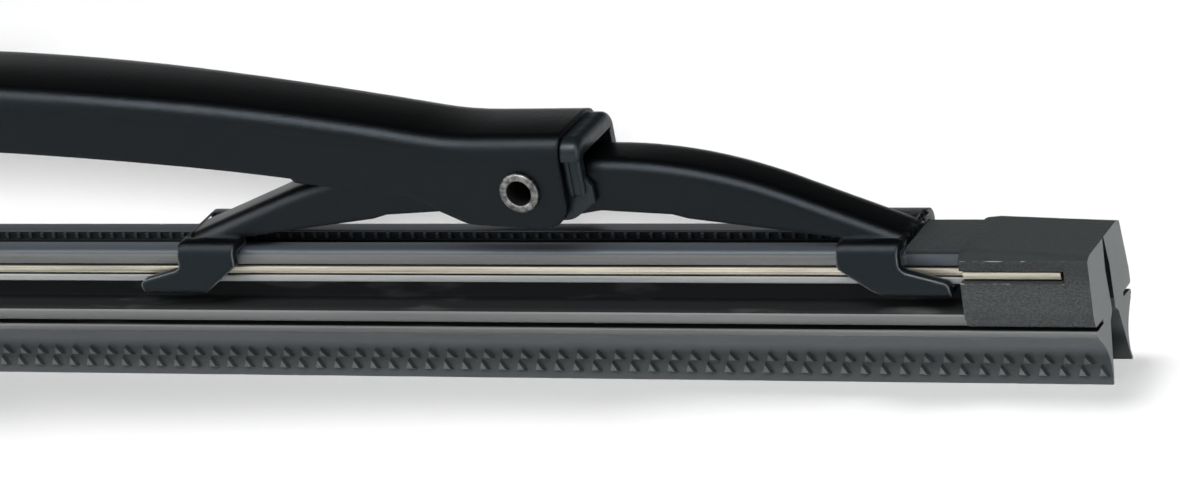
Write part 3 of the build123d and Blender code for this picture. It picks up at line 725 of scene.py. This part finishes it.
def run_finish(y, z):
    """Finish of the extruded rubber: top, slots, grooves and lips in painted shade, the top also in painted
    bluish reflection, the lower flange in painted light.
    """
    width = abs(y)
    slot_low = -UPPER_FLANGE - STRIP_SLOT
    if z > -TOP_EDGE and TOP_SLOT_HALF < width < HEAD_HALF - EDGE_BAND / 2:
        return TOP_SHADE
    if z > -UPPER_FLANGE and width <= TOP_SLOT_HALF:
        return CAP_SHADE
    in_claw_groove = FLANGE_BOTTOM - EDGE_BAND > z > RIDGE_TOP - EDGE_BAND
    in_neck = RIDGE_BOTTOM > z > LIP_TOP
    in_strip_slot = -UPPER_FLANGE > z > slot_low and width < HEAD_HALF
    if in_claw_groove or in_neck or in_strip_slot:
        return CREVICE_SHADE
    if z < SHOULDER - EDGE_BAND:
        return LIP
    if slot_low >= z > FLANGE_BOTTOM - EDGE_BAND:
        return FLANGE_LIGHT
    return RUBBER


def land_finish(y, z):
    """Finish of the land before the end block: the cap's painted shade on top, the top's painted shade and
    bluish reflection on its sides.
    """
    return CAP_SHADE if z > -EDGE_BAND else TOP_SHADE


def block_finish(y, z):
    """Finish of the end block: cap in painted shade, painted shade down the end slit, and worn pale along its
    shoulder and its pocket's lower edge.
    """
    low = -UPPER_FLANGE - STRIP_SLOT - POCKET_DROP
    width = abs(y)
    if width > BLOCK_SHOULDER_HALF - EDGE_BAND and abs(z + BLOCK_SHOULDER_DROP) < EDGE_BAND:
        return WORN
    if width > BLOCK_SHOULDER_HALF and abs(z - low) < EDGE_BAND / 2:
        return WORN
    if width < END_SLIT_HALF and z < END_SLIT_TOP:
        return CREVICE_SHADE
    if z > -BLOCK_SHOULDER_DROP:
        return CAP_SHADE
    return BLOCK


def strip_finish(y, z):
    """The one finish of the strips."""
    return 0


def add_run(mesh, start, end, outline):
    """Length of the rubber between two places along the blade."""
    loft(mesh, [section_at(x, outline) for x in stations(start, end)], run_finish, RUBBER)


def add_block(mesh, way):
    """Moulded block at one end, in lengths with and without the strips' pockets and the end slit."""
    def span(start, end, pocket, slit, first_inset=0.0):
        sections = [section_at(way * start, block_outline(start, pocket, slit), first_inset)]
        for x in stations(start + BLOCK_START_ROUND, end):
            sections.append(section_at(way * x, block_outline(x, pocket, slit)))
        loft(mesh, sections, block_finish, CUT if slit else BLOCK)

    slit_start = BLADE_END - END_SLIT_DEPTH
    span(BLOCK_START, POCKET_END, True, False, BLOCK_START_ROUND / 2)
    span(POCKET_END, slit_start, False, False)
    span(slit_start, BLADE_END, False, True)
    half = [
        (0, LAND_RISE, 0),
        (HEAD_HALF + LAND_STAND, LAND_RISE, LAND_ROUND),
        (HEAD_HALF + LAND_STAND, LAND_STAND - UPPER_FLANGE, POCKET_ROUND),
        (STRIP_SLOT_FLOOR, LAND_STAND - UPPER_FLANGE, 0),
    ]
    outline = rounded_outline(mirrored(half))
    ends = (LAND_START, BLOCK_START + BLOCK_START_ROUND)
    loft(mesh, [section_at(way * x, outline) for x in ends], land_finish, BLOCK)


def add_details(mesh, way, start, end):
    """Pyramids on both lips and bars in the top slot, between two distances from the middle."""
    for side in (-1, 1):
        for level, from_end in NUB_ROWS:
            count = int((BLADE_END - from_end - start) / NUB_PITCH)
            for index in range(count + 1):
                x = BLADE_END - from_end - index * NUB_PITCH
                if start < x < end:
                    add_nub(mesh, way * x, side, level)
        for index in range(int(end / BAR_PITCH) + 1):
            x = (index + 0.5) * BAR_PITCH
            if start + BAR_WIDTH < x < min(end, LAND_START) - BAR_WIDTH:
                wall = side * (TOP_SLOT_HALF + BAR_STAND)
                inner = side * (TOP_SLOT_HALF - BAR_STAND)
                low = (way * x - BAR_WIDTH / 2, min(wall, inner), RUBBER_TOP - BAR_DROP)
                high = (way * x + BAR_WIDTH / 2, max(wall, inner), RUBBER_TOP - BAR_STAND)
                add_box(mesh, low, high, TOP_SHADE)


def rubber_piece(name, way, start, end, materials):
    """Length of the rubber on one hand, from start out to end, with what is moulded on it."""
    mesh = bmesh.new()
    last = min(end, BLOCK_START + BLOCK_START_ROUND)
    add_run(mesh, way * start, way * last, rubber_outline())
    if end > last:
        slit_start = BLADE_END - END_SLIT_DEPTH
        below = [section_at(way * x, lower_outline()) for x in stations(last, slit_start)]
        loft(mesh, below, run_finish, CREVICE_SHADE)
        for side in (-1, 1):
            ends = (slit_start, BLADE_END - END_STEP)
            loft(mesh, [section_at(way * x, lip_outline(side)) for x in ends], run_finish, CUT)
        add_block(mesh, way)
    add_details(mesh, way, start, end)
    return finished(name, mesh, materials)


def strip_piece(name, way, side, start, end, material):
    """Length of one spring steel strip."""
    mesh = bmesh.new()

    def section(x, outer):
        inner = STRIP_OUTER - STRIP_WIDTH
        half = STRIP_THICKNESS / 2
        return section_at(way * x, rounded_outline([
            (side * inner, STRIP_LEVEL - half, STRIP_ROUND),
            (side * outer, STRIP_LEVEL - half, STRIP_ROUND),
            (side * outer, STRIP_LEVEL + half, STRIP_ROUND),
            (side * inner, STRIP_LEVEL + half, STRIP_ROUND),
        ]))

    sections = [section(x, STRIP_OUTER) for x in stations(start, min(end, BLOCK_START))]
    if end > BLOCK_START:
        last = BLADE_END - STRIP_END_GAP
        sections += [section(x, STRIP_END_OUTER) for x in stations(BLOCK_START + BLOCK_START_ROUND, last)]
    loft(mesh, sections, strip_finish, 0)
    return finished(name, mesh, [material])


def squeegee_pieces(rubber_materials, strip_material):
    """Rubber and strips in lengths along the blade; gives the lengths of rubber."""
    lengths_of_rubber = []
    for hand, way in (("left", -1), ("right", 1)):
        lever = "lever_" + hand
        inner = "yoke_" + hand + "_inner"
        outer = "yoke_" + hand + "_outer"
        lengths = (
            ("middle", 0, MIDDLE_SEAM, lever, "bridge", MIDDLE_SEAM, 0),
            ("near", MIDDLE_SEAM, INNER_YOKE_X, inner, lever, INNER_CLAW_END, MIDDLE_SEAM),
            ("far", INNER_YOKE_X, LEVER_X, lever, inner, LEVER_X - BEND_START, LEVER_X - BEND_END),
            ("outer", LEVER_X, BLADE_END, lever, outer, LEVER_X + BEND_START, LEVER_X + BEND_END),
        )
        for place, start, end, first, second, bend_from, bend_to in lengths:
            name = hand + "_" + place
            pieces = {"squeegee": rubber_piece("rubber_" + name, way, start, end, rubber_materials)}
            for node, side in (("strip_front", -1), ("strip_rear", 1)):
                pieces[node] = strip_piece(node + "_" + name, way, side, start, end, strip_material)
            for node, piece in pieces.items():
                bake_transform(piece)
                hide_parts(node)
            lengths_of_rubber.append(pieces["squeegee"])
    return lengths_of_rubber


def burr_on_claw(material):
    """Ragged burr along the end edge of the outermost claw on the right."""
    mesh = bmesh.new()
    rings = []
    for step in range(BURR_STEPS + 1):
        y = BURR_START + (BURR_END - BURR_START) * step / BURR_STEPS
        swell = BURR_SWELL * math.sin(BURR_SWELL_RATE * step)
        drift = BURR_DRIFT * math.sin(BURR_DRIFT_RATE * step + 1)
        size = BURR_SIZE * (BURR_MEAN + swell + drift)
        lift = BURR_LIFT * math.sin(BURR_LIFT_RATE * step)
        ring = []
        for corner in range(BURR_SIDES):
            turn = 2 * math.pi * corner / BURR_SIDES
            dent = math.sin(BURR_DENT_ROUND_RATE * corner + BURR_DENT_ALONG_RATE * step)
            reach = size * (1 + BURR_DENT * dent)
            x = CLAW_END + reach * math.cos(turn)
            z = CLAW_EDGE_LEVEL + lift + reach * math.sin(turn)
            ring.append(mesh.verts.new(Vector((x, y, z)) * MM))
        rings.append(ring)
    for ring, following in zip(rings, rings[1:]):
        for first, second in zip(range(-1, BURR_SIDES - 1), range(BURR_SIDES)):
            mesh.faces.new((ring[first], ring[second], following[second], following[first]))
    for ring in (rings[0], rings[-1]):
        mesh.faces.new(ring)
    burr = finished("claw_burr", mesh, [material])
    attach(burr, "yoke_right_outer")


def darken_bore(obj, material):
    """Painted shade: a dark material on the faces inside a hollow rivet or tube, whose axis lies across the
    blade.
    """
    low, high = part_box(obj.name)
    axis = (low + high) / 2

    def from_axis(point):
        return math.hypot(point.x - axis.x, point.z - axis.z)

    bore = min(from_axis(vertex.co) for vertex in obj.data.vertices)
    dark = len(obj.data.materials)
    obj.data.materials.append(material)
    for face in obj.data.polygons:
        if from_axis(face.center) < BORE_MARGIN * bore:
            face.material_index = dark


def dress_nodes(finishes):
    """Smooth shading and materials on the solids that stay; gives those solids."""
    dressed_nodes = []
    slots = {part["node"]: part["material_slot"] for part in frame["record"]["subparts"]}
    for node, slot in slots.items():
        if slot not in finishes:
            continue
        obj = bpy.data.objects[node]
        obj.data.materials.clear()
        obj.data.materials.append(finishes[slot])
        obj.data.shade_smooth()
        obj.data.set_sharp_from_angle(angle=math.radians(NODE_SHARP_ANGLE))
        if slot == "rivet_steel":
            darken_bore(obj, finishes["bore"])
        dressed_nodes.append(obj)
    return dressed_nodes


# Floor, light and camera

FLOOR_SIZE = 40.0
FLOOR_WHITE = 0.8
LAMP_AIM = (0.18, 0, -0.03)
WIDE_BEAM = 180
NARROW_BEAM = 60
WORLD_COLOUR = (0.97, 0.99, 1, 1)
PANEL_DIRECTION = (0.26, -0.966, 0)
PANEL_EDGE = 0.2
PANEL_CORE = 0.75
PANEL_STRENGTH = 0.7
PANEL_LOW = 0.45
PANEL_HIGH = 0.75
HORIZON_HIGH = 0.36
HORIZON_STRENGTH = 1.1
BACK_STRENGTH = 0.03
CAMERA_AZIMUTH = 27.302
CAMERA_ELEVATION = 22.152
CAMERA_ROLL = -10.922
CAMERA_DISTANCE = 491.66
CAMERA_RIGHT = -41.35
CAMERA_UP = -0.743
CAMERA_LENS = 179.49
CAMERA_CLIP = 0.01
AIM_DROP = 0.41


def white_floor():
    """Wide pale floor at the level of the lips' edges."""
    mesh = bmesh.new()
    half = FLOOR_SIZE / 2
    corners = [(-half, -half), (half, -half), (half, half), (-half, half)]
    mesh.faces.new([mesh.verts.new((x, y, FLOOR_LEVEL)) for x, y in corners])
    material = shader("white_floor", (FLOOR_WHITE, FLOOR_WHITE, FLOOR_WHITE), roughness=1.0, specular=0.0)[0]
    floor = finished("floor", mesh, [material])
    return floor


def linked_lamp(name, place, size, power, lit_pieces, beam=WIDE_BEAM):
    """Rectangular lamp at a place in metres, turned to the blade, that lights some pieces alone."""
    data = bpy.data.lights.new(name, "AREA")
    data.shape = "RECTANGLE"
    data.size, data.size_y = size
    data.energy = power
    data.spread = math.radians(beam)
    lamp = bpy.data.objects.new(name, data)
    lamp.location = place
    lamp.rotation_euler = (Vector(LAMP_AIM) - Vector(place)).to_track_quat("-Z", "Y").to_euler()
    bpy.context.collection.objects.link(lamp)
    lit = bpy.data.collections.new("lit_by_" + name)
    for piece in lit_pieces:
        lit.objects.link(piece)
    lamp.light_linking.receiver_collection = lit


def studio_world():
    """World light: a soft panel in front and a glow along the horizon, dark above and behind."""
    world = bpy.data.worlds.new("studio")
    bpy.context.scene.world = world
    world.use_nodes = True
    tree = world.node_tree
    place = tree.nodes.new("ShaderNodeTexCoord")
    parts = tree.nodes.new("ShaderNodeSeparateXYZ")
    tree.links.new(place.outputs["Generated"], parts.inputs["Vector"])
    facing = tree.nodes.new("ShaderNodeVectorMath")
    facing.operation = "DOT_PRODUCT"
    facing.inputs[1].default_value = PANEL_DIRECTION
    tree.links.new(place.outputs["Generated"], facing.inputs[0])
    ahead = spread(tree, facing.outputs["Value"], 0, PANEL_STRENGTH, PANEL_EDGE, PANEL_CORE, eased=True)
    below = spread(tree, parts.outputs["Z"], 1, 0, PANEL_LOW, PANEL_HIGH, eased=True)
    glow = spread(tree, parts.outputs["Z"], HORIZON_STRENGTH, BACK_STRENGTH, 0, HORIZON_HIGH, eased=True)
    panel = tree.nodes.new("ShaderNodeMath")
    panel.operation = "MULTIPLY_ADD"
    tree.links.new(ahead, panel.inputs[0])
    tree.links.new(below, panel.inputs[1])
    tree.links.new(glow, panel.inputs[2])
    tree.links.new(panel.outputs["Value"], tree.nodes["Background"].inputs["Strength"])
    tree.nodes["Background"].inputs["Color"].default_value = WORLD_COLOUR


def camera():
    """Camera at the angle, distance and lens worked out for the photograph."""
    azimuth = math.radians(CAMERA_AZIMUTH)
    elevation = math.radians(CAMERA_ELEVATION)
    roll = math.radians(CAMERA_ROLL)
    back = Vector((
        math.sin(azimuth) * math.cos(elevation),
        -math.cos(azimuth) * math.cos(elevation),
        math.sin(elevation),
    ))
    level_right = Vector((math.cos(azimuth), math.sin(azimuth), 0))
    level_up = back.cross(level_right)
    right = math.cos(roll) * level_right + math.sin(roll) * level_up
    up = math.cos(roll) * level_up - math.sin(roll) * level_right
    aim = Vector((BLADE_END, 0, RUBBER_TOP - AIM_DROP))
    eye = aim + right * CAMERA_RIGHT + up * CAMERA_UP + back * CAMERA_DISTANCE
    data = bpy.data.cameras.new("camera")
    data.lens = CAMERA_LENS
    data.clip_start = CAMERA_CLIP
    obj = bpy.data.objects.new("camera", data)
    turn = Matrix((right, up, back)).transposed().to_4x4()
    obj.matrix_world = Matrix.Translation(eye * MM) @ turn
    bpy.context.collection.objects.link(obj)
    bpy.context.scene.camera = obj


paint = black_paint()
dressed = dress_nodes({
    "black_paint": paint,
    "black_plastic": black_plastic(),
    "rivet_steel": rivet_steel(),
    "bore": dark_bore(),
})
rubber_lengths = squeegee_pieces(
    [finish() for finish in (
        rubber, top_shade_rubber, crevice_shade_rubber, block_rubber, worn_rubber, cut_rubber, lip_rubber, cap_shade_rubber,
        flange_light_rubber,
    )],
    strip_steel(),
)
burr_on_claw(paint)
floor = white_floor()
blade = [obj for obj in bpy.context.scene.objects if obj.type == "MESH" and obj != floor]
linked_lamp("key", place=(0.12, -0.52, 0.98), size=(1.2, 0.45), power=17, lit_pieces=blade)
linked_lamp("left", place=(-0.9, -0.6, 0.6), size=(0.6, 0.6), power=9, lit_pieces=blade)
linked_lamp("back", place=(0.12, 0.7, 0.95), size=(0.35, 0.35), power=7, lit_pieces=rubber_lengths)
linked_lamp("floor_back", place=(-0.08, 0.26, 1.0), size=(0.4, 0.4), power=7.8, lit_pieces=[floor])
linked_lamp(
    "floor_front", place=(0.72, -1.05, 0.51), size=(0.13, 0.13), power=2.5, lit_pieces=[floor],
    beam=NARROW_BEAM,
)
linked_lamp("rim", place=(1.1, -0.35, 0.5), size=(0.15, 1.0), power=4, lit_pieces=dressed)
studio_world()
camera()
bpy.context.scene.view_settings.view_transform = "Standard"
